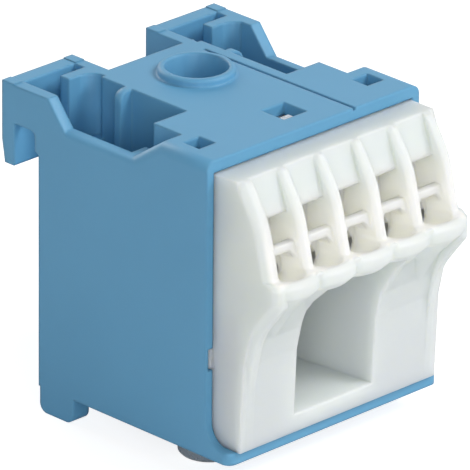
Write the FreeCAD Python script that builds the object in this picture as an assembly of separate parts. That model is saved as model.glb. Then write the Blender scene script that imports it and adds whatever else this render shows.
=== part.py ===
"""Quick connect terminal block: a light blue moulded housing with two rear hook arms, a white front
insert with five push-in funnels and one large wire entry, and inside it a tinned copper busbar, five
clamp springs and a rising cage clamp that is worked by a screw from the top. Millimetres, +Z up,
front towards -Y. The origin is the centre of the footprint, on the surface that the block stands on.
"""
import FreeCAD
import Part
import math
import os

V = FreeCAD.Vector

# Housing, measured from its front face (y = 0) and its underside (z = 0). Cuts run on past a face
# by the length "past".
module_width = 30.0
body_height = 32.0
body_depth = 24.2
wall = 1.35
strip = 0.95
top_wall = 1.35
floor = 1.3
lip_reach = 3.4
past = 1.0
lip_end_round = 1.0
gusset_radius = 2.4
low_edge_round = 0.5
shoulder_round = 1.1

# Top of the side walls: flat in front, a ramp, a low level and a steep rise to the arms
ramp_run = 4.3
ramp_foot_gap = 1.25
ramp_wall = 0.5
low_step = 2.9
rise_foot_gap = 3.7
rise_top_gap = 1.35
shelf_inset = 3.3
shelf_overhang = 1.0
ledge_depth = 0.85

# Central block and the deep pockets beside it
block_wall = 1.25
block_side_gap = 0.4
fin_reach = 1.65
fin_thickness = 0.95
fin_gap = 5.3
fin_round = 1.2

# Rear arms with their downward hooks
arm_gap = 10.44
arm_inner_wall = 1.3
hook_reach = 5.35
hook_thickness = 1.75
hook_drop = 8.8
slot_height = 4.65
slot_width = 3.05
slot_side_depth = 1.8
slot_lead_slope = 0.6
hook_tip_round = 0.7
hook_taper_height = 2.5
hook_taper = 0.42
tongue_gap = 1.4
tongue_thickness = 1.25
tongue_width = 3.36
tongue_root_round = 1.8
tongue_length = 2.2
pad_length = 1.2
pad_height = 0.1

# Feet under the rear corners
foot_height = 2.75
foot_length = 4.9
foot_width = 2.2
foot_round = 1.0
foot_setback = 0.2

# Holes in the top
ring_x = 0.6
ring_outer_radius = 4.0
ring_height = 0.85
ring_chamfer = 0.25
bore_radius = 3.33
guide_wall = 1.0
guide_gap = 0.65
side_window = 2.3
side_window_inset = 3.1
centre_window = 3.25
window_y = 4.3
groove_inset = 9.35
groove_width = 0.35
groove_depth = 0.3
groove_end_gap = 2.75

# White insert: ribs, panels and bridges. A drop is measured down from the insert's top.
insert_gap = 0.15
funnel_count = 5
flank_band = 2.0
rib_width = 1.4
rib_chamfer = 0.4
rib_run_out = 1.35
flank_rib_width = 1.6
ridge_top_y = -3.6
ridge_top_round = 1.0
ridge_mid_y = -6.15
ridge_mid_drop = 4.0
ridge_mid_round = 9.0
ridge_foot_y = -7.5
ridge_foot_round = 0.6
panel_top_y = -3.05
panel_foot_y = -4.65
panel_drop = 4.1
bridge_drop = 7.0
bridge_height = 0.7
bridge_depth = 0.9
recess_y = -2.3
partition = 1.3
tool_slot_width = 2.6
tool_slot_height = 1.6
throat_wall = 1.2

# Cups of the funnels, round in plan, with cones under them
cup_front_y = -9.45
cup_radius = 5.2
cup_rim_drop = 9.65
cup_height = 2.4
cup_top_chamfer = 0.55
cup_foot_chamfer = 0.75
cone_mid_drop = 1.9
cone_drop = 6.2
rim_width = 0.9
mouth_depth = 1.05
mouth_slope = 11.0
mouth_end_gap = 1.7
wire_hole = 2.8
hole_drop = 0.6

# Pillars and the large wire entry. The drops here and of the cones are below the cups' foot.
pillar_foot_y = -3.85
pillar_top_y = -4.3
pillar_top_drop = 7.7
under_mid_y = -5.0
under_mid_drop = 4.6
under_top_y = -5.94
under_top_drop = 2.2
under_round = 7.0
flank_mid_y = -5.5
flank_mid_drop = 4.3
flank_foot_drop = 9.8
flank_rim_round = 0.85
flank_under_round = 0.8
flank_chamfer = 0.75
entry_x = -0.8
entry_width = 11.3
entry_sill = 2.0
entry_rise = 0.8
entry_narrowing = 1.7
duct_wall = 1.1
latch_width = 1.5
latch_depth = 0.9
latch_gap = 0.2
latch_recess = 0.25
snap_height = 2.4
snap_z = 10.5
snap_reach = 0.4
snap_notch_depth = 0.6
snap_depth = 1.4
snap_gap = 0.15

# Current path and springs
bar_thickness = 1.5
bar_drop = 12.7
bar_front_y = 2.0
bar_rear_gap = 0.9
bar_end_gap = 0.9
bar_side_gap = 0.05
bar_top_gap = 0.1
bar_bend_gap = 0.7
bar_bend_radius = 0.5
bar_clearance = 0.3
tongue_bar_width = 7.0
tongue_step = 4.3
spring_strip = 0.35
spring_side_gap = 0.3
spring_loop_radius = 1.5
spring_top_gap = 3.0
spring_knee = 0.8
spring_foot = 1.6
spring_bend = 0.5
spring_tip_gap = 0.3
spring_slant = 1.0

# Rising cage clamp
screw_radius = 2.5
screw_head_radius = 3.1
screw_head_height = 3.2
screw_head_drop = 3.6
screw_tip_chamfer = 0.5
screw_head_chamfer = 0.25
thread_clearance = 0.12
recess_width = 1.1
recess_length = 4.2
recess_depth = 1.7
cage_side_gap = 0.1
cage_wall = 1.2
cage_length = 8.4
cage_corner_round = 0.8
cage_top_wall = 3.0
cage_floor_gap = 0.5
cage_tongue_gap = 0.3
cage_front_gap = 1.3
cage_rear_gap = 1.25
cage_travel = 7.6

# Pan-head screws that hold the insert from below
base_screw_inset = 5.6
base_screw_rear_gap = 4.6
base_head_radius = 3.2
base_head_chamfer = 0.35
base_shank_radius = 1.45
boss_headroom = 6.0
base_hole_gap = 0.3
base_tip_gap = 0.5
base_recess_width = 0.7
base_recess_length = 3.2
base_recess_depth = 1.4
boss_wall = 1.2
boss_clearance = 0.05

# Values worked out from the ones above
half = module_width / 2.0
arm_width = half - arm_gap / 2.0
cage_rear = body_depth - wall - cage_rear_gap
cage_front = cage_rear - cage_length
web_rear = cage_front - cage_front_gap
web_front = web_rear - bar_thickness
insert_rear_y = web_front - bar_bend_gap
front_chamber_depth = insert_rear_y + bar_clearance
arm_rear_y = body_depth + hook_reach
leg_front_y = arm_rear_y - hook_thickness
slot_front_y = leg_front_y - slot_width
hook_foot_z = body_height - hook_drop
slot_top_z = hook_foot_z + slot_height
rear_wall_top = hook_foot_z + tongue_length
low_z = body_height - low_step
ramp_foot_y = front_chamber_depth + ramp_foot_gap
ramp_top_y = ramp_foot_y - ramp_run
shelf_x = half - shelf_inset
shelf_rear_y = front_chamber_depth + shelf_overhang
ledge_rear_y = ramp_foot_y + ledge_depth
pocket_outer_x = half - wall
chamber_top = body_height - top_wall
insert_half = half - strip - insert_gap
insert_top = chamber_top - insert_gap
funnel_pitch = (module_width - 2 * flank_band) / funnel_count
column_width = funnel_pitch - rib_width
rim_z = insert_top - cup_rim_drop
mouth_floor = rim_z - mouth_depth
bridge_top = insert_top - bridge_drop
bridge_bottom = bridge_top - bridge_height
entry_floor = floor + entry_sill
cup_foot = rim_z - cup_height
rear_top = low_z - top_wall - insert_gap
bar_top = insert_top - bar_drop
bar_bottom = bar_top - bar_thickness
bar_rear_y = insert_rear_y - bar_rear_gap
bar_half = insert_half - bar_end_gap
tongue_top = bar_top - tongue_step
tongue_rear_y = body_depth - wall - bar_clearance
ring_y = (cage_front + cage_rear) / 2.0
cage_base = floor + cage_floor_gap
cage_opening = tongue_top + cage_tongue_gap - cage_base - cage_wall
cage_top = cage_base + cage_wall + cage_opening + cage_top_wall
guide_foot = cage_top + cage_travel + guide_gap
cage_half = tongue_bar_width / 2.0 + cage_side_gap + cage_wall
block_inner = ring_x + cage_half + block_side_gap
block_half = block_inner + block_wall
screw_head_top = body_height - screw_head_drop
base_screw_x = half - base_screw_inset
base_screw_y = insert_rear_y - base_screw_rear_gap
base_shank_length = bar_bottom - floor - boss_headroom
stand = foot_height
shift_y = -(cup_front_y + arm_rear_y) / 2.0


def column_x(index):
    """Middle of funnel number index, counted from the left."""
    return (index - (funnel_count - 1) / 2.0) * funnel_pitch


def block(x0, x1, y0, y1, z0, z1):
    """Box between two values on each axis, in either order."""
    low = V(min(x0, x1), min(y0, y1), min(z0, z1))
    return Part.makeBox(abs(x1 - x0), abs(y1 - y0), abs(z1 - z0), low)


def rounded_edges(points, place, closed):
    """Straight edges through the points; a point written as (a, b, r) is a corner rounded to radius r."""
    passes = []
    for i, item in enumerate(points):
        here = V(item[0], item[1], 0)
        if len(item) == 2:
            passes.append((here, here, here))
            continue
        before = points[i - 1]
        after = points[(i + 1) % len(points)]
        back = (V(before[0], before[1], 0) - here).normalize()
        ahead = (V(after[0], after[1], 0) - here).normalize()
        turn = back.getAngle(ahead) / 2.0
        reach = item[2] / math.tan(turn)
        inward = (back + ahead).normalize()
        passes.append((here + back * reach, here + inward * (item[2] / math.sin(turn) - item[2]),
                       here + ahead * reach))
    edges = []
    for i, (start, middle, end) in enumerate(passes):
        if start.distanceToPoint(end) > 1e-6:
            edges.append(Part.Arc(place(start), place(middle), place(end)).toShape())
        if i == len(passes) - 1 and not closed:
            break
        following = passes[(i + 1) % len(passes)][0]
        if end.distanceToPoint(following) > 1e-6:
            edges.append(Part.makeLine(place(end), place(following)))
    return edges


def side_prism(points, x0, x1):
    """Solid with a side view (y, z), from x0 to x1."""
    wire = Part.Wire(rounded_edges(points, lambda p: V(x0, p.x, p.y), True))
    return Part.Face(wire).extrude(V(x1 - x0, 0, 0))


def plan_prism(points, z0, z1):
    """Solid with a top view (x, y), from z0 to z1."""
    wire = Part.Wire(rounded_edges(points, lambda p: V(p.x, p.y, z0), True))
    return Part.Face(wire).extrude(V(0, 0, z1 - z0))


def mirrored(shape):
    return shape.mirror(V(0, 0, 0), V(1, 0, 0))


def moved(shape, x, y, z):
    copy = shape.copy()
    copy.translate(V(x, y, z))
    return copy


def edge_middle(edge):
    return edge.valueAt((edge.FirstParameter + edge.LastParameter) / 2.0)


def round_edges(shape, radius, chosen):
    """Fillet the edges for which chosen(middle, edge) is true."""
    edges = [edge for edge in shape.Edges if chosen(edge_middle(edge), edge)]
    return shape.makeFillet(radius, edges)


def break_edges(shape, width, chosen):
    """Chamfer the edges for which chosen(middle, edge) is true."""
    edges = [edge for edge in shape.Edges if chosen(edge_middle(edge), edge)]
    return shape.makeChamfer(width, edges)


def near(a, b, tolerance=0.02):
    return abs(a - b) < tolerance


def straight(edge, axis):
    """True for a straight edge along axis 0, 1 or 2."""
    if edge.Curve.TypeId != "Part::GeomLine":
        return False
    return abs(abs(edge.Curve.Direction[axis]) - 1.0) < 1e-6


# Housing

def shell_body():
    """Outer block with the lip in front, the side walls' ramps and the rounded shoulders."""
    body = block(-half, half, 0, body_depth, 0, body_height)
    rise_foot = body_depth - rise_foot_gap
    rise_top = body_depth - rise_top_gap
    over = body_height + past
    valley = [(ramp_top_y, over), (ramp_top_y, body_height), (ramp_foot_y, low_z), (rise_foot, low_z),
              (rise_top, body_height), (rise_top, over)]
    body = body.cut(side_prism(valley, -half - past, -shelf_x))
    body = body.cut(side_prism(valley, shelf_x, half + past))
    body = round_edges(body, shoulder_round, lambda m, e: near(abs(m.x), half)
                       and m.y < ramp_foot_y and m.z > low_z + 0.01 and not straight(e, 2))
    body = round_edges(body, low_edge_round, lambda m, e: near(abs(m.x), half)
                       and rise_foot > m.y > ramp_foot_y and near(m.z, low_z))
    sweep = [(0, 0), (0, floor + gusset_radius), (0, floor, gusset_radius), (-lip_reach, floor),
             (-lip_reach, 0)]
    lip = side_prism(sweep, -half, half)
    lip = round_edges(lip, lip_end_round, lambda m, e: near(abs(m.x), half) and near(m.y, -lip_reach))
    return body.fuse(lip)


def chambers():
    """Room behind the front opening and round the screw clamp, both open to each other."""
    opening = half - strip
    side = [(-lip_reach - past, floor), (front_chamber_depth, floor), (front_chamber_depth, low_z - top_wall),
            (ramp_top_y - ramp_wall, chamber_top), (-lip_reach - past, chamber_top)]
    front = side_prism(side, -opening, opening)
    middle = block(-block_inner, block_inner, front_chamber_depth - past, body_depth - wall, floor,
                   chamber_top)
    return front.fuse(middle)


def pocket_plan():
    """Top view of the left pocket, which runs on into the arm round its inner tongue."""
    root = -half + arm_width - arm_inner_wall
    tongue_rear = leg_front_y - tongue_gap
    tongue_front = tongue_rear - tongue_thickness
    left = -pocket_outer_x
    return [(left, ledge_rear_y), (-shelf_x, ledge_rear_y), (-shelf_x, shelf_rear_y),
            (-block_half, shelf_rear_y), (-block_half, tongue_front - tongue_root_round),
            (root, tongue_front - tongue_root_round), (root, tongue_front, tongue_root_round),
            (root - tongue_width, tongue_front), (root - tongue_width, tongue_rear),
            (root, tongue_rear), (root, leg_front_y), (left, leg_front_y)]


def arm(x0):
    """One rear arm as a closed block with the hook leg and the raised end pads."""
    x1 = x0 + arm_width
    side = [(body_depth - past, rear_wall_top), (body_depth - past, body_height), (arm_rear_y, body_height),
            (arm_rear_y, hook_foot_z + hook_taper_height), (arm_rear_y - hook_taper, hook_foot_z),
            (body_depth, hook_foot_z), (body_depth, rear_wall_top)]
    solid = side_prism(side, x0, x1)
    for start in (x0, x1 - pad_length):
        pad = block(start, start + pad_length, arm_rear_y - hook_thickness, arm_rear_y,
                    body_height - pad_length, body_height + pad_height)
        solid = solid.fuse(pad)
    return solid


def arm_slot(x0, x1):
    """Gap for the mounting plate between the rear wall and the hook leg."""
    lead = (slot_front_y - body_depth) * slot_lead_slope
    side = [(slot_front_y, slot_top_z), (leg_front_y, slot_top_z), (leg_front_y, hook_foot_z - past),
            (body_depth, hook_foot_z - past), (body_depth, rear_wall_top),
            (slot_front_y, rear_wall_top + lead)]
    slot = side_prism(side, x0, x1)
    return round_edges(slot, hook_tip_round, lambda m, e: straight(e, 0)
                       and near(m.z, slot_top_z) and near(m.y, slot_front_y))


def foot(sign):
    rear = body_depth - foot_setback
    solid = block(sign * half, sign * (half - foot_width), rear - foot_length, rear, -foot_height, floor)
    return round_edges(solid, foot_round, lambda m, e: straight(e, 0) and near(m.z, -foot_height))


def fin(sign):
    """Upright rib on the side of the central block, rounded at its top outer corner."""
    x0 = -block_half - fin_reach
    y0 = body_depth - fin_gap
    solid = block(x0, -block_half, y0, y0 + fin_thickness, floor, body_height)
    solid = round_edges(solid, fin_round, lambda m, e: straight(e, 1)
                        and near(m.z, body_height) and near(m.x, x0))
    return solid if sign < 0 else mirrored(solid)


def make_housing():
    body = shell_body()
    arm_lefts = (-half, half - arm_width)
    for x0 in arm_lefts:
        body = body.fuse(arm(x0))
    body = body.cut(chambers())
    # The right arm repeats the left one, so its tongue hangs on the outer wall instead.
    plan = pocket_plan()
    arm_step = module_width - arm_width
    over = body_height + past
    upper = plan_prism(plan, rear_wall_top, over)
    trough = block(-pocket_outer_x, -block_half, ledge_rear_y, body_depth - wall, floor, over)
    trough = trough.fuse(block(-shelf_x, -block_half, shelf_rear_y, ledge_rear_y, floor, over))
    behind = block(-half, half, body_depth, arm_rear_y + past, hook_foot_z - past, over)
    lower = plan_prism(plan, hook_foot_z - past, rear_wall_top).common(behind)
    arm_part = upper.fuse(lower).common(behind)
    front_part = upper.cut(behind)
    body = body.cut([upper.fuse(lower), trough])
    body = body.cut([mirrored(trough), mirrored(front_part), moved(arm_part, arm_step, 0, 0)])
    for x0 in arm_lefts:
        outer_slot = arm_slot(x0 - past, x0 + slot_side_depth)
        inner_slot = arm_slot(x0 + arm_width - arm_inner_wall, x0 + arm_width + past)
        body = body.cut([outer_slot, inner_slot])
    for sign in (-1, 1):
        body = body.fuse([foot(sign), fin(sign)])
    # Raised ring and guide tube of the screw bore
    guide_depth = chamber_top - guide_foot
    tube = Part.makeCylinder(bore_radius + guide_wall, guide_depth, V(ring_x, ring_y, guide_foot))
    ring = Part.makeCylinder(ring_outer_radius, top_wall + ring_height, V(ring_x, ring_y, chamber_top))
    ring = break_edges(ring, ring_chamfer, lambda m, e: near(e.BoundBox.ZMin, body_height + ring_height))
    bore = Part.makeCylinder(bore_radius, body_height, V(ring_x, ring_y, guide_foot - past))
    body = body.fuse([tube, ring]).cut(bore)
    # Square windows and the moulded groove in the top
    small = side_window / 2.0
    large = centre_window / 2.0
    for x, reach in ((side_window_inset - half, small), (0, large), (half - side_window_inset, small)):
        window = block(x - reach, x + reach, window_y - reach, window_y + reach, insert_top, over)
        body = body.cut(window)
    groove_x = half - groove_inset
    groove = block(groove_x - groove_width / 2.0, groove_x + groove_width / 2.0, -past,
                   body_depth - groove_end_gap, body_height - groove_depth, over)
    body = body.cut(groove)
    # Snap notches in the side strips and clearance holes in the floor
    for sign in (-1, 1):
        inner = sign * (half - strip)
        notch = block(inner, inner + sign * snap_notch_depth, -past, snap_depth + snap_gap,
                      snap_z - snap_height / 2.0, snap_z + snap_height / 2.0)
        hole = Part.makeCylinder(base_shank_radius + base_hole_gap, floor + 2 * past,
                                 V(sign * base_screw_x, base_screw_y, -past))
        body = body.cut([notch, hole])
    return body


# Front insert

def panel_y(z):
    """Front plane of the panels and of the bridges, at height z."""
    slope = (panel_foot_y - panel_top_y) / -panel_drop
    return panel_top_y + slope * (z - insert_top)


def insert_core():
    """Block between the ribs: panels above, and the pillars' concave front below the cups."""
    inside = rim_z - past
    side = [(insert_rear_y, floor), (insert_rear_y, rear_top),
            (ramp_top_y - ramp_wall - insert_gap, insert_top), (panel_top_y, insert_top),
            (panel_y(inside), inside), (under_top_y - past, inside), (under_top_y - past, cup_foot),
            (under_top_y, cup_foot - under_top_drop), (under_mid_y, cup_foot - under_mid_drop, under_round),
            (pillar_top_y, cup_foot - pillar_top_drop), (pillar_foot_y, floor)]
    return side_prism(side, -insert_half, insert_half)


def ridge_points():
    """Front line of a rib, from the insert's top down to the rim of the cups."""
    return [(0, insert_top), (ridge_top_y, insert_top, ridge_top_round),
            (ridge_mid_y, insert_top - ridge_mid_drop, ridge_mid_round),
            (ridge_foot_y, rim_z, ridge_foot_round)]


def rib(x0, x1):
    """Rib between two funnels, rounded along its front and run out into the rim."""
    rim_end = ridge_foot_y - rib_run_out
    side = ridge_points() + [(rim_end, rim_z), (rim_end, rim_z - past), (0, rim_z - past)]
    solid = side_prism(side, x0, x1)
    return break_edges(solid, rib_chamfer, lambda m, e: m.y < ridge_top_y / 2.0 and m.z > rim_z + 0.01
                       and not straight(e, 0) and not straight(e, 2))


def flank(sign):
    """Outer rib, which runs on down the whole side of the insert as the pillar's edge."""
    front = ridge_foot_y - rib_run_out
    side = ridge_points()
    side += [(front, rim_z, flank_rim_round), (front, cup_foot, flank_under_round),
             (flank_mid_y, cup_foot - flank_mid_drop, under_round),
             (pillar_top_y, cup_foot - flank_foot_drop, under_round), (pillar_foot_y, floor), (0, floor)]
    inner = sign * (insert_half - flank_rib_width)
    solid = side_prism(side, inner, sign * insert_half)
    return break_edges(solid, flank_chamfer, lambda m, e: m.y < ridge_top_y / 2.0 and m.z > floor + 0.01
                       and near(abs(m.x), insert_half) and not straight(e, 0))


def cup(index):
    """One funnel's cup and cone, turned about an upright axis and kept within its own share."""
    x = column_x(index)
    axis_y = cup_front_y + cup_radius
    side = [(0, rim_z), (cup_radius - cup_top_chamfer, rim_z), (cup_radius, rim_z - cup_top_chamfer),
            (cup_radius, cup_foot + cup_foot_chamfer), (cup_radius - cup_foot_chamfer, cup_foot),
            (cup_radius / 2.0, cup_foot - cone_mid_drop), (0, cup_foot - cone_drop)]
    profile = Part.Face(Part.Wire(rounded_edges(side, lambda p: V(x, axis_y - p.x, p.y), True)))
    solid = profile.revolve(V(x, axis_y, 0), V(0, 0, 1), 360)
    left = -insert_half if index == 0 else x - funnel_pitch / 2.0
    right = insert_half if index == funnel_count - 1 else x + funnel_pitch / 2.0
    return solid.common(block(left, right, cup_front_y - past, axis_y, floor, insert_top))


def bored(x, start, end, radius):
    """Round bore between two points (y, z) of the plane at x."""
    foot = V(x, start[0], start[1])
    axis = V(x, end[0], end[1]) - foot
    return Part.makeCylinder(radius, axis.Length, foot, axis)


def column_cuts(index):
    """Everything that one funnel takes out of the insert, with its spring room behind."""
    x = column_x(index)
    left = x - column_width / 2.0
    right = x + column_width / 2.0
    window_top = insert_top - panel_drop
    # Window over the bridge, and the room behind the bridge, down into the mouth
    cuts = [block(left, right, cup_front_y, recess_y, bridge_top, window_top)]
    room_foot = mouth_floor + column_width / 2.0
    behind = [(panel_y(window_top) + bridge_depth, window_top),
              (panel_y(room_foot) + bridge_depth, room_foot), (recess_y, room_foot), (recess_y, window_top)]
    cuts.append(side_prism(behind, left, right))
    # Mouth: a bowl behind the rim, whose round floor runs in and slightly down to the wire hole
    radius = column_width / 2.0
    slope = math.tan(math.radians(mouth_slope))
    front_y = cup_front_y + rim_width
    end_y = recess_y - mouth_end_gap
    start = (cup_front_y, mouth_floor + radius + slope * rim_width)
    end = (end_y, mouth_floor + radius - slope * (end_y - front_y))
    hole = (end_y - bar_top_gap, end[1] - hole_drop)
    last = (bar_front_y + hole_drop, bar_top + bar_top_gap + wire_hole / 2.0)
    plan = [(left, end_y + past), (left, front_y, radius), (right, front_y, radius), (right, end_y + past)]
    bowl = plan_prism(plan, cup_foot, bridge_bottom)
    cuts.append(bored(x, start, end, radius).common(bowl))
    cuts.append(bored(x, hole, last, wire_hole / 2.0))
    # Slot through the partition for the release tool, and the spring room
    room_front = recess_y + partition
    slot_z = (bridge_top + window_top) / 2.0
    slot_half = tool_slot_width / 2.0
    cuts.append(block(x - slot_half, x + slot_half, recess_y - past, room_front + past,
                      slot_z - tool_slot_height / 2.0, slot_z + tool_slot_height / 2.0))
    ceiling = insert_top - throat_wall
    beyond = insert_rear_y + past
    room = [(bar_front_y, bar_top), (beyond, bar_top), (beyond, rear_top - 1.5 * throat_wall),
            (ramp_top_y - throat_wall, ceiling), (room_front, ceiling), (room_front, bridge_bottom),
            (bar_front_y, bridge_bottom - throat_wall)]
    cuts.append(side_prism(room, left, right))
    return cuts


def entry_duct():
    """Large wire entry, narrowing towards the cage clamp."""
    half_front = entry_width / 2.0
    half_rear = half_front - entry_narrowing
    far = cup_front_y - past
    beyond = insert_rear_y + past
    plan = [(entry_x - half_front, far), (entry_x + half_front, far),
            (entry_x + half_front, pillar_top_y), (entry_x + half_rear, beyond),
            (entry_x - half_rear, beyond), (entry_x - half_front, pillar_top_y)]
    low = bar_bottom - throat_wall
    side = [(far, entry_floor), (beyond, entry_floor), (beyond, low), (0, low),
            (pillar_top_y, cup_foot - entry_rise), (cup_front_y + 2 * cup_foot_chamfer, cup_foot),
            (far, cup_foot)]
    return plan_prism(plan, entry_floor, cup_foot).common(side_prism(side, -insert_half, insert_half))


def make_insert():
    body = insert_core()
    for index in range(1, funnel_count):
        x = column_x(index) - funnel_pitch / 2.0
        body = body.fuse(rib(x - rib_width / 2.0, x + rib_width / 2.0))
    body = body.fuse([cup(index) for index in range(funnel_count)])
    body = body.fuse([flank(-1), flank(1)])
    for index in range(funnel_count):
        body = body.cut(column_cuts(index))
    body = body.cut(entry_duct())
    # Slot of the busbar and the hollow pillars, all open at the rear
    beyond = insert_rear_y + past
    slot_half = bar_half + bar_side_gap
    body = body.cut(block(-slot_half, slot_half, bar_front_y, beyond, bar_bottom, bar_top + bar_top_gap))
    for sign in (-1, 1):
        duct_side = entry_x + sign * (entry_width / 2.0 + duct_wall)
        outer = sign * (insert_half - duct_wall)
        body = body.cut(block(duct_side, outer, pillar_foot_y + duct_wall, beyond, floor + duct_wall,
                              bar_bottom - throat_wall))
        boss_radius = base_shank_radius + boss_clearance + boss_wall
        place = V(sign * base_screw_x, base_screw_y, floor)
        boss = Part.makeCylinder(boss_radius, base_shank_length, place)
        bore = Part.makeCylinder(base_shank_radius + boss_clearance, base_shank_length - boss_wall, place)
        body = body.fuse(boss).cut(bore)
        snap_half = snap_height / 2.0 - snap_gap
        snap = block(sign * (insert_half - duct_wall), sign * (insert_half + snap_reach), snap_gap,
                     snap_depth, snap_z - snap_half, snap_z + snap_half)
        body = body.fuse(snap)
    latch_front = window_y - centre_window / 2.0 + latch_gap
    latch_left = -centre_window / 2.0 + latch_gap
    latch = block(latch_left, latch_left + latch_width, latch_front, latch_front + latch_depth,
                  insert_top - throat_wall, body_height - latch_recess)
    return body.fuse(latch).removeSplitter()


# Current path

def make_busbar():
    """Flat strip under the springs, bent down behind them into the tongue inside the cage."""
    tongue_bottom = tongue_top - bar_thickness
    inside = bar_bend_radius
    outside = bar_bend_radius + bar_thickness
    side = [(bar_rear_y - past, bar_bottom), (web_front, bar_bottom, inside),
            (web_front, tongue_bottom, outside), (tongue_rear_y, tongue_bottom),
            (tongue_rear_y, tongue_top), (web_rear, tongue_top, inside),
            (web_rear, bar_top, outside), (bar_rear_y - past, bar_top)]
    tongue = side_prism(side, ring_x - tongue_bar_width / 2.0, ring_x + tongue_bar_width / 2.0)
    strip_part = block(-bar_half, bar_half, bar_front_y, bar_rear_y, bar_bottom, bar_top)
    return tongue.fuse(strip_part).removeSplitter()


def make_spring(index):
    """Clamp spring: a foot on the busbar, a rear leg, a loop and the leg that presses the wire."""
    half_strip = spring_strip / 2.0
    foot_z = bar_top + half_strip
    rear = bar_rear_y - half_strip
    loop = spring_loop_radius
    loop_z = insert_top - spring_top_gap - half_strip - loop
    front = rear - 2 * loop
    tip_z = bar_top + spring_tip_gap + half_strip
    points = [(rear - spring_foot, foot_z), (rear, foot_z, spring_bend), (rear, loop_z + loop, loop),
              (front, loop_z + loop, loop), (front, loop_z - spring_knee), (front + spring_slant, tip_z)]
    edges = rounded_edges(points, lambda p: V(0, p.x, p.y), False)
    side = column_width / 2.0 - spring_side_gap
    low = foot_z - half_strip
    high = foot_z + half_strip
    y0 = rear - spring_foot
    section = Part.makePolygon([V(-side, y0, low), V(side, y0, low), V(side, y0, high), V(-side, y0, high),
                                V(-side, y0, low)])
    strip_solid = Part.Wire(edges).makePipeShell([section], True, False, 1)
    return moved(strip_solid, column_x(index), 0, 0)


# Rising cage clamp

def make_clamp_screw():
    """Clamp screw whose tip stands on the busbar's tongue; its head has a cross recess."""
    head_foot = screw_head_top - screw_head_height
    length = head_foot - tongue_top + screw_tip_chamfer
    shank = Part.makeCylinder(screw_radius, length, V(ring_x, ring_y, tongue_top))
    shank = break_edges(shank, screw_tip_chamfer, lambda m, e: near(e.BoundBox.ZMax, tongue_top))
    head = Part.makeCylinder(screw_head_radius, screw_head_height, V(ring_x, ring_y, head_foot))
    head = break_edges(head, screw_head_chamfer, lambda m, e: near(e.BoundBox.ZMin, screw_head_top))
    solid = shank.fuse(head)
    low = screw_head_top - recess_depth
    for across, along in ((recess_length, recess_width), (recess_width, recess_length)):
        solid = solid.cut(block(ring_x - across / 2.0, ring_x + across / 2.0, ring_y - along / 2.0,
                                ring_y + along / 2.0, low, screw_head_top + past))
    return solid


def make_clamp_cage():
    """Cage that hangs on the screw's thread round the tongue and rises when the screw turns."""
    inner = cage_half - cage_wall
    opening_foot = cage_base + cage_wall
    opening_top = opening_foot + cage_opening
    solid = block(ring_x - cage_half, ring_x + cage_half, cage_front, cage_rear, cage_base, cage_top)
    solid = round_edges(solid, cage_corner_round, lambda m, e: straight(e, 1))
    opening = block(ring_x - inner, ring_x + inner, cage_front - past, cage_rear + past, opening_foot,
                    opening_top)
    hole = Part.makeCylinder(screw_radius + thread_clearance, cage_top_wall + 2 * past,
                             V(ring_x, ring_y, opening_top - past))
    return solid.cut([opening, hole])


def make_base_screw(sign):
    """Pan-head screw driven up through the floor into a boss of the insert."""
    x = sign * base_screw_x
    head = Part.makeCylinder(base_head_radius, foot_height, V(x, base_screw_y, -foot_height))
    head = break_edges(head, base_head_chamfer, lambda m, e: near(e.BoundBox.ZMax, -foot_height))
    overlap = foot_height / 2.0
    length = floor + base_shank_length - boss_wall - base_tip_gap + overlap
    shank = Part.makeCylinder(base_shank_radius, length, V(x, base_screw_y, -overlap))
    solid = head.fuse(shank)
    reach = base_recess_length / 2.0
    side = base_recess_width / 2.0
    for turn in (45, 135):
        wing = block(-reach, reach, -side, side, -foot_height - past, -foot_height + base_recess_depth)
        wing.rotate(V(0, 0, 0), V(0, 0, 1), turn)
        solid = solid.cut(moved(wing, x, base_screw_y, 0))
    return solid


def build_parts():
    parts = {"housing": make_housing(), "front_insert": make_insert(), "busbar": make_busbar()}
    for index in range(funnel_count):
        parts["push_in_spring_%d" % (index + 1)] = make_spring(index)
    parts["clamp_screw"] = make_clamp_screw()
    parts["clamp_cage"] = make_clamp_cage()
    parts["base_screw_left"] = make_base_screw(-1)
    parts["base_screw_right"] = make_base_screw(1)
    return parts


os.makedirs("parts", exist_ok=True)
for name, shape in build_parts().items():
    whole = moved(shape.Solids[0], 0, shift_y, stand)
    print(name, len(shape.Solids), whole.isValid(), "%.1f mm3" % whole.Volume)
    whole.exportStep("parts/%s.step" % name)
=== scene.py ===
import math
import bpy
from mathutils import Matrix, Vector

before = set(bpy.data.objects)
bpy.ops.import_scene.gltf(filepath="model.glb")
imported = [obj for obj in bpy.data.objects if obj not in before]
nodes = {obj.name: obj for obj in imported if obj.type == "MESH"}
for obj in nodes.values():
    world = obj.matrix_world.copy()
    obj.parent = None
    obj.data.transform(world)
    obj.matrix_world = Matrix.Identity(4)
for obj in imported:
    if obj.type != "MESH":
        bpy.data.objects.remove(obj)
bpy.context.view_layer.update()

# Housing. One moulding in light blue polyamide, with the hook arms, the ring round the screw bore and
# the rear feet on it. Its steel tool is finely spark-eroded, and leaves every edge slightly rounded.
HOUSING_BLUE = "#67A6CC"
HOUSING_BLUE_FLOW = "#62A0C6"
HOUSING_FLOW_MM = 9.0
HOUSING_GRAIN_MM = 0.22
HOUSING_GRAIN_STRENGTH = 0.12
HOUSING_SCATTER_MM = 0.6
HOUSING_ROUND_MM = 0.45
HOUSING_EDGE_MM = 0.2
GRAIN_DEPTH_MM = 0.03
POLYAMIDE_IOR = 1.53
WELD_MM = 0.001
FLAT_DEGREES = 0.5
SHARP_DEGREES = 40.0


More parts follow.
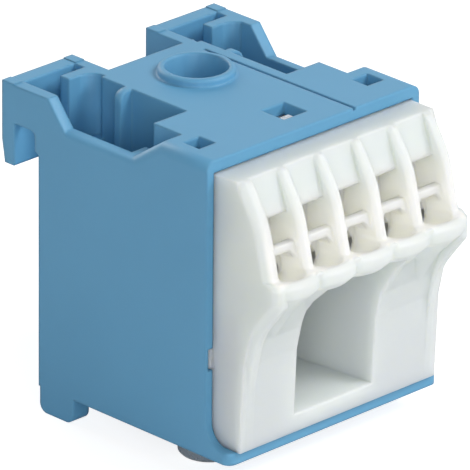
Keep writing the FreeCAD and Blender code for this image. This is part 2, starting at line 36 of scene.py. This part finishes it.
def linear(hex_colour):
    """sRGB hex to linear red, green, blue and alpha."""
    values = [int(hex_colour[i:i + 2], 16) / 255.0 for i in (1, 3, 5)]
    return tuple(v / 12.92 if v <= 0.04045 else ((v + 0.055) / 1.055) ** 2.4 for v in values) + (1.0,)


def add_node(tree, kind, settings=None, links=None):
    """Adds a node. settings holds its own values and its sockets' values, and links holds what its
    sockets are linked from. A socket goes by its name, or by its number where names repeat."""
    made = tree.nodes.new(kind)
    for key, value in (settings or {}).items():
        if isinstance(key, int) or key in made.inputs:
            made.inputs[key].default_value = value
        else:
            setattr(made, key, value)
    for key, source in (links or {}).items():
        tree.links.new(source, made.inputs[key])
    return made


def new_material(name):
    material = bpy.data.materials.new(name)
    material.use_nodes = True
    material.node_tree.nodes.clear()
    return material


def dress(name, material, edge_mm=0.0):
    """Gives a CAD piece its finish, and breaks its sharp edges as its tool does."""
    piece = nodes[name]
    piece.data.materials.clear()
    piece.data.materials.append(material)
    if edge_mm:
        weld = piece.modifiers.new("weld", "WELD")
        weld.merge_threshold = WELD_MM / 1000.0
        flat = piece.modifiers.new("flat", "DECIMATE")
        flat.decimate_type = "DISSOLVE"
        flat.angle_limit = math.radians(FLAT_DEGREES)
        bevel = piece.modifiers.new("edge", "BEVEL")
        bevel.width = edge_mm / 1000.0
        bevel.segments = 2
        bevel.limit_method = "ANGLE"
        bevel.angle_limit = math.radians(SHARP_DEGREES)
        bevel.use_clamp_overlap = True
        bevel.harden_normals = True


def moulded_colour(tree, place, colour, drifted, flow_mm):
    """Colour of a moulding, which drifts a little where the melt flowed."""
    flow = add_node(tree, "ShaderNodeTexNoise", {"Scale": 1000.0 / flow_mm, "Detail": 2.0},
                    {"Vector": place.outputs["Object"]})
    mixed = add_node(tree, "ShaderNodeMixRGB", {"Color1": linear(colour), "Color2": linear(drifted)},
                     {"Fac": flow.outputs["Fac"]})
    return mixed.outputs["Color"]


def moulded_relief(tree, place, grain_mm, strength, round_mm):
    """Normal of a moulding: the tool's grain, too fine to show and so drawn coarser, on a Bevel node
    that makes the light roll over each edge, beyond the small bevel of the mesh."""
    grain = add_node(tree, "ShaderNodeTexNoise",
                     {"Scale": 1000.0 / grain_mm, "Detail": 3.0, "Roughness": 0.6},
                     {"Vector": place.outputs["Object"]})
    edge = add_node(tree, "ShaderNodeBevel", {"Radius": round_mm / 1000.0, "samples": 8})
    bump = add_node(tree, "ShaderNodeBump",
                    {"Strength": strength, "Distance": GRAIN_DEPTH_MM / 1000.0},
                    {"Height": grain.outputs["Fac"], "Normal": edge.outputs["Normal"]})
    return bump.outputs["Normal"]


# Polyamide from a spark-eroded tool: satin, with a grain that softens the highlights and hardly any
# light inside it.
polyamide_blue = new_material("polyamide moulded light blue")
tree = polyamide_blue.node_tree
place = add_node(tree, "ShaderNodeTexCoord")
shade = moulded_colour(tree, place, HOUSING_BLUE, HOUSING_BLUE_FLOW, HOUSING_FLOW_MM)
relief = moulded_relief(tree, place, HOUSING_GRAIN_MM, HOUSING_GRAIN_STRENGTH, HOUSING_ROUND_MM)
body = add_node(tree, "ShaderNodeBsdfPrincipled",
                {"Roughness": 0.45, "IOR": POLYAMIDE_IOR, "Specular IOR Level": 0.3,
                 "Subsurface Weight": 0.08, "Subsurface Radius": (0.2, 0.6, 1.0),
                 "Subsurface Scale": HOUSING_SCATTER_MM / 1000.0},
                {"Base Color": shade, "Normal": relief})
add_node(tree, "ShaderNodeOutputMaterial", None, {"Surface": body.outputs["BSDF"]})
dress("housing", polyamide_blue, HOUSING_EDGE_MM)

# Front insert. One moulding in natural white polyamide, which lets a little light through, so that
# its thin ribs and lips look soft and its inside looks warm. It is held by two screws and two snaps.
INSERT_WHITE = "#E1E7E5"
INSERT_WHITE_FLOW = "#DBE1DF"
INSERT_FLOW_MM = 9.0
INSERT_GRAIN_MM = 0.25
INSERT_GRAIN_STRENGTH = 0.1
INSERT_SCATTER_MM = 3.5
INSERT_ROUND_MM = 0.4
INSERT_EDGE_MM = 0.24

# Painted light: the five bowls and the wire holes in them are painted lighter and a little warmer.
# This colour stands in for the light that comes through their thin walls and fills them. Each pair is
# where that starts and where it is full: inwards from the row's two ends, back from the front, up
# from the bowls' foot and down from their top.
BOWL_PAINTED_LIGHT = "#FDFCF2"
BOWL_ROW_END_MM = (13.6, 13.05)
BOWL_FRONT_MM = (-18.95, -18.35)
BOWL_FOOT_MM = (21.2, 21.9)
BOWL_TOP_MM = (31.0, 25.5)

# Natural polyamide from the same kind of tool: satin and milky, as light spreads a few millimetres
# inside it.
polyamide_white = new_material("polyamide moulded natural white")
tree = polyamide_white.node_tree
place = add_node(tree, "ShaderNodeTexCoord")
part = add_node(tree, "ShaderNodeSeparateXYZ", None, {"Vector": place.outputs["Object"]})
off_middle = add_node(tree, "ShaderNodeMath", {"operation": "ABSOLUTE"}, {0: part.outputs["X"]})
# Mask of the bowls' painted light: the product of the four steps below, full inside the bowls.
bowl_painted_light = None
for source, (start, full) in ((off_middle.outputs[0], BOWL_ROW_END_MM),
                              (part.outputs["Y"], BOWL_FRONT_MM),
                              (part.outputs["Z"], BOWL_FOOT_MM),
                              (part.outputs["Z"], BOWL_TOP_MM)):
    step = add_node(tree, "ShaderNodeMapRange",
                    {"interpolation_type": "SMOOTHSTEP",
                     "From Min": start / 1000.0, "From Max": full / 1000.0},
                    {"Value": source})
    if bowl_painted_light:
        step = add_node(tree, "ShaderNodeMath", {"operation": "MULTIPLY"},
                        {0: bowl_painted_light.outputs[0], 1: step.outputs[0]})
    bowl_painted_light = step
shade = moulded_colour(tree, place, INSERT_WHITE, INSERT_WHITE_FLOW, INSERT_FLOW_MM)
# Painted light: where the mask is full, the bowls' colour is mixed towards a lighter, warmer white.
bowl_light_mix = add_node(tree, "ShaderNodeMixRGB", {"Color2": linear(BOWL_PAINTED_LIGHT)},
                {"Fac": bowl_painted_light.outputs[0], "Color1": shade})
relief = moulded_relief(tree, place, INSERT_GRAIN_MM, INSERT_GRAIN_STRENGTH, INSERT_ROUND_MM)
body = add_node(tree, "ShaderNodeBsdfPrincipled",
                {"Roughness": 0.45, "IOR": POLYAMIDE_IOR, "Specular IOR Level": 0.4,
                 "Subsurface Weight": 1.0, "Subsurface Radius": (1.0, 0.97, 0.8),
                 "Subsurface Scale": INSERT_SCATTER_MM / 1000.0},
                {"Base Color": bowl_light_mix.outputs["Color"], "Normal": relief})
add_node(tree, "ShaderNodeOutputMaterial", None, {"Surface": body.outputs["BSDF"]})
dress("front_insert", polyamide_white, INSERT_EDGE_MM)

# Busbar. Flat copper strip, punched and bent, then tinned: a pale grey metal with a warm tinge. The
# tin is satin, with soft cloudy patches and the faint lines of the rolled strip under it. The lines
# of rolled strip, here and on the springs, are drawn coarser than they are, so that they show.
BUSBAR_TIN = "#D6CFC4"
BUSBAR_TIN_DULL = "#C4BBAE"
BUSBAR_GRAIN_MM = (4.0, 0.25, 0.25)
BUSBAR_ROUGHNESS = (0.36, 0.5)
BUSBAR_DEPTH_MM = 0.004
BUSBAR_EDGE_MM = 0.1


def metal_grain(tree, grain_mm, dull, bright, roughness, depth_mm, normal=None):
    """Colour, roughness and normal of a metal with a grain, as long along each axis as grain_mm
    says. Its roughness runs from the first value, where it is bright, to the second, where it is
    dull. normal is a coarser relief that the grain lies on."""
    smooth, rough = roughness
    place = add_node(tree, "ShaderNodeTexCoord")
    stretched = add_node(tree, "ShaderNodeVectorMath",
                         {"operation": "DIVIDE", 1: [length / 1000.0 for length in grain_mm]},
                         {0: place.outputs["Object"]})
    grain = add_node(tree, "ShaderNodeTexNoise", {"Scale": 1.0, "Detail": 4.0, "Roughness": 0.6},
                     {"Vector": stretched.outputs[0]})
    colour = add_node(tree, "ShaderNodeMixRGB", {"Color1": linear(dull), "Color2": linear(bright)},
                      {"Fac": grain.outputs["Fac"]})
    gloss = add_node(tree, "ShaderNodeMapRange",
                     {"From Min": 0.3, "From Max": 0.7, "To Min": rough, "To Max": smooth},
                     {"Value": grain.outputs["Fac"]})
    bump = add_node(tree, "ShaderNodeBump", {"Strength": 0.5, "Distance": depth_mm / 1000.0},
                    {"Height": grain.outputs["Fac"]})
    if normal:
        tree.links.new(normal, bump.inputs["Normal"])
    return {"Base Color": colour.outputs["Color"], "Roughness": gloss.outputs[0],
            "Normal": bump.outputs["Normal"]}


def metal(name, grain_mm, dull, bright, roughness, depth_mm):
    material = new_material(name)
    tree = material.node_tree
    look = metal_grain(tree, grain_mm, dull, bright, roughness, depth_mm)
    body = add_node(tree, "ShaderNodeBsdfPrincipled", {"Metallic": 1.0}, look)
    add_node(tree, "ShaderNodeOutputMaterial", None, {"Surface": body.outputs["BSDF"]})
    return material


tinned_copper = metal("copper punched and tinned", BUSBAR_GRAIN_MM, BUSBAR_TIN_DULL, BUSBAR_TIN,
                      BUSBAR_ROUGHNESS, BUSBAR_DEPTH_MM)
dress("busbar", tinned_copper, BUSBAR_EDGE_MM)

# Clamp springs. Stainless strip, bent on a stamping tool. Rolling leaves fine lines along the
# strip, so its sheen is drawn out across them.
SPRING_COUNT = 5
SPRING_STEEL = "#CDCFD0"
SPRING_STEEL_DULL = "#B9BBBD"
SPRING_GRAIN_MM = (0.08, 3.0, 3.0)
SPRING_ROUGHNESS = (0.28, 0.42)
SPRING_DEPTH_MM = 0.003
stainless_strip = metal("stainless steel rolled strip", SPRING_GRAIN_MM, SPRING_STEEL_DULL,
                        SPRING_STEEL, SPRING_ROUGHNESS, SPRING_DEPTH_MM)
for index in range(SPRING_COUNT):
    dress("push_in_spring_%d" % (index + 1), stainless_strip)

# Clamp cage. A bent steel frame with a zinc plating: a bright, slightly blue grey with the faint
# mottle of the passivation.
ZINC = "#CACCCE"
ZINC_DULL = "#B4B8BC"
ZINC_MOTTLE_MM = (0.6, 0.6, 0.6)
ZINC_ROUGHNESS = (0.24, 0.36)
ZINC_DEPTH_MM = 0.003
CAGE_EDGE_MM = 0.08
zinc_plated = metal("steel zinc plated", ZINC_MOTTLE_MM, ZINC_DULL, ZINC, ZINC_ROUGHNESS,
                    ZINC_DEPTH_MM)
dress("clamp_cage", zinc_plated, CAGE_EDGE_MM)

# Clamp screw and base screws. Cold-headed steel with a rolled thread on the shank and the same zinc
# plating. The thread is a helix round each screw's own axis, at its real pitch.
CLAMP_SHANK_RADIUS_MM = 2.5
CLAMP_PITCH_MM = 0.8
CLAMP_THREAD_MM = 0.4
CLAMP_SCREW_EDGE_MM = 0.08
BASE_SHANK_RADIUS_MM = 1.45
BASE_PITCH_MM = 0.6
BASE_THREAD_MM = 0.3
BASE_SCREW_EDGE_MM = 0.1
SHANK_MARGIN_MM = 0.05


def threaded(name, radius_mm, pitch_mm, thread_mm):
    """Zinc plated finish with a thread on what lies within the shank's radius of the screw's axis."""
    screw = nodes[name]
    corners = [screw.matrix_world @ Vector(corner) for corner in screw.bound_box]
    middle = sum(corners, Vector()) / 8.0
    own = screw.matrix_world.inverted() @ middle
    material = new_material("steel zinc plated, thread of %s" % name.replace("_", " "))
    tree = material.node_tree
    place = add_node(tree, "ShaderNodeTexCoord")
    from_axis = add_node(tree, "ShaderNodeVectorMath",
                         {"operation": "SUBTRACT", 1: (own.x, own.y, 0.0)},
                         {0: place.outputs["Object"]})
    part = add_node(tree, "ShaderNodeSeparateXYZ", None, {"Vector": from_axis.outputs[0]})
    angle = add_node(tree, "ShaderNodeMath", {"operation": "ARCTAN2"},
                     {0: part.outputs["Y"], 1: part.outputs["X"]})
    turns = add_node(tree, "ShaderNodeMath", {"operation": "DIVIDE", 1: 2.0 * math.pi},
                     {0: angle.outputs[0]})
    height = add_node(tree, "ShaderNodeMath", {"operation": "MULTIPLY_ADD", 1: 1000.0 / pitch_mm},
                      {0: part.outputs["Z"], 2: turns.outputs[0]})
    flank = add_node(tree, "ShaderNodeMath", {"operation": "PINGPONG", 1: 0.5},
                     {0: height.outputs[0]})
    flat = add_node(tree, "ShaderNodeVectorMath", {"operation": "MULTIPLY", 1: (1.0, 1.0, 0.0)},
                    {0: from_axis.outputs[0]})
    reach = add_node(tree, "ShaderNodeVectorMath", {"operation": "LENGTH"}, {0: flat.outputs[0]})
    shank = add_node(tree, "ShaderNodeMath",
                     {"operation": "LESS_THAN", 1: (radius_mm + SHANK_MARGIN_MM) / 1000.0},
                     {0: reach.outputs["Value"]})
    thread = add_node(tree, "ShaderNodeMath", {"operation": "MULTIPLY"},
                      {0: flank.outputs[0], 1: shank.outputs[0]})
    # The flank rises to 0.5 only, so twice the thread's depth gives all of it.
    relief = add_node(tree, "ShaderNodeBump",
                      {"Strength": 1.0, "Distance": 2.0 * thread_mm / 1000.0},
                      {"Height": thread.outputs[0]})
    look = metal_grain(tree, ZINC_MOTTLE_MM, ZINC_DULL, ZINC, ZINC_ROUGHNESS, ZINC_DEPTH_MM,
                       relief.outputs["Normal"])
    body = add_node(tree, "ShaderNodeBsdfPrincipled", {"Metallic": 1.0}, look)
    add_node(tree, "ShaderNodeOutputMaterial", None, {"Surface": body.outputs["BSDF"]})
    return material


clamp_thread = threaded("clamp_screw", CLAMP_SHANK_RADIUS_MM, CLAMP_PITCH_MM, CLAMP_THREAD_MM)
dress("clamp_screw", clamp_thread, CLAMP_SCREW_EDGE_MM)
for name in ("base_screw_left", "base_screw_right"):
    base_thread = threaded(name, BASE_SHANK_RADIUS_MM, BASE_PITCH_MM, BASE_THREAD_MM)
    dress(name, base_thread, BASE_SCREW_EDGE_MM)

# Studio floor. A matt white painted board. The camera sees it near white, with the block's soft
# shadow on it, and all other light meets its real paint.
FLOOR_SIZE_M = 6.0
BOARD_PAINT = "#F4F5F6"
BOARD_SEEN = "#B4B5B6"
BOARD_GLOW = "#FFFFFF"
BOARD_GLOW_STRENGTH = 0.82
floor_paint = new_material("matt white studio board")
tree = floor_paint.node_tree
path = add_node(tree, "ShaderNodeLightPath")
board = add_node(tree, "ShaderNodeBsdfDiffuse", {"Color": linear(BOARD_PAINT)})
seen_board = add_node(tree, "ShaderNodeBsdfDiffuse", {"Color": linear(BOARD_SEEN)})
glow = add_node(tree, "ShaderNodeEmission",
                {"Color": linear(BOARD_GLOW), "Strength": BOARD_GLOW_STRENGTH})
seen = add_node(tree, "ShaderNodeAddShader", None, {0: seen_board.outputs[0], 1: glow.outputs[0]})
surface = add_node(tree, "ShaderNodeMixShader", None,
                   {0: path.outputs["Is Camera Ray"], 1: board.outputs[0], 2: seen.outputs[0]})
add_node(tree, "ShaderNodeOutputMaterial", None, {"Surface": surface.outputs[0]})
bpy.ops.mesh.primitive_plane_add(size=FLOOR_SIZE_M, location=(0, 0, 0))
floor = bpy.context.object
floor.name = "studio_floor"
floor.data.materials.append(floor_paint)

# Room. A low even light from pale walls, a touch warm. The camera and the reflections see a plain
# white backdrop instead.
ROOM_LIGHT = (1.0, 1.0, 0.985, 1.0)
ROOM_STRENGTH = 0.17
BACKDROP_WHITE = (1.0, 1.0, 1.0, 1.0)
world = bpy.data.worlds.new("studio light")
bpy.context.scene.world = world
world.use_nodes = True
tree = world.node_tree
tree.nodes.clear()
path = add_node(tree, "ShaderNodeLightPath")
seen = add_node(tree, "ShaderNodeMath", {"operation": "MAXIMUM"},
                {0: path.outputs["Is Camera Ray"], 1: path.outputs["Is Glossy Ray"]})
room = add_node(tree, "ShaderNodeBackground", {"Color": ROOM_LIGHT, "Strength": ROOM_STRENGTH})
backdrop = add_node(tree, "ShaderNodeBackground", {"Color": BACKDROP_WHITE, "Strength": 1.0})
mix = add_node(tree, "ShaderNodeMixShader", None,
               {0: seen.outputs[0], 1: room.outputs[0], 2: backdrop.outputs[0]})
add_node(tree, "ShaderNodeOutputWorld", None, {"Surface": mix.outputs[0]})

# Lamps. A softbox high on the front right, a larger fill on the front left that reaches into the
# bowls, and a far one behind. Places and sizes are in metres, and powers in watts.
LAMP_AIM = (0.0, 0.0, 0.018)


def soft_lamp(name, place, size, power):
    lamp = bpy.data.lights.new(name, "AREA")
    lamp.shape = "SQUARE"
    lamp.size = size
    lamp.energy = power
    holder = bpy.data.objects.new(name, lamp)
    bpy.context.scene.collection.objects.link(holder)
    holder.location = place
    holder.rotation_mode = "QUATERNION"
    holder.rotation_quaternion = (Vector(LAMP_AIM) - Vector(place)).to_track_quat("-Z", "Y")


soft_lamp("front_right_softbox", place=(0.3, -0.43, 0.55), size=0.35, power=3.6)
soft_lamp("front_left_fill", place=(-0.52, -0.52, 0.32), size=0.5, power=2.45)
soft_lamp("rear_softbox", place=(0.2, 1.6, 0.7), size=1.0, power=11.0)

# Camera. Long lens, seen from the front left and from 23 degrees above, as in the photograph. Its
# values were fitted to the block's corners in a square frame of FRAME_PX pixels, where CENTRE_PX is
# the lens's middle. It looks at AIM_M from DISTANCE_M away.
FRAME_PX = 470.0
FOCAL_PX = 9000.0
CENTRE_PX = (242.694, 233.615)
SENSOR_MM = 36.0
AIM_M = (0.0, -0.00005, 0.01957)
DISTANCE_M = 0.910993
azimuth = math.radians(-44.899)
elevation = math.radians(23.381)
roll = math.radians(0.524)
right = Vector((math.cos(azimuth), math.sin(azimuth), 0.0))
forward = Vector((-math.sin(azimuth) * math.cos(elevation), math.cos(azimuth) * math.cos(elevation),
                  -math.sin(elevation)))
up = right.cross(forward)
camera_x = right * math.cos(roll) + up * math.sin(roll)
camera_y = up * math.cos(roll) - right * math.sin(roll)
lens = bpy.data.cameras.new("camera")
lens.sensor_width = SENSOR_MM
lens.lens = FOCAL_PX / FRAME_PX * SENSOR_MM
lens.shift_x = (FRAME_PX / 2.0 - CENTRE_PX[0]) / FRAME_PX
lens.shift_y = (CENTRE_PX[1] - FRAME_PX / 2.0) / FRAME_PX
lens.clip_start = 0.05
lens.clip_end = 20.0
camera = bpy.data.objects.new("camera", lens)
bpy.context.scene.collection.objects.link(camera)
turn = Matrix((camera_x, camera_y, -forward)).transposed().to_4x4()
camera.matrix_world = Matrix.Translation(Vector(AIM_M) - forward * DISTANCE_M) @ turn
bpy.context.scene.camera = camera

bpy.context.scene.view_settings.view_transform = "Standard"
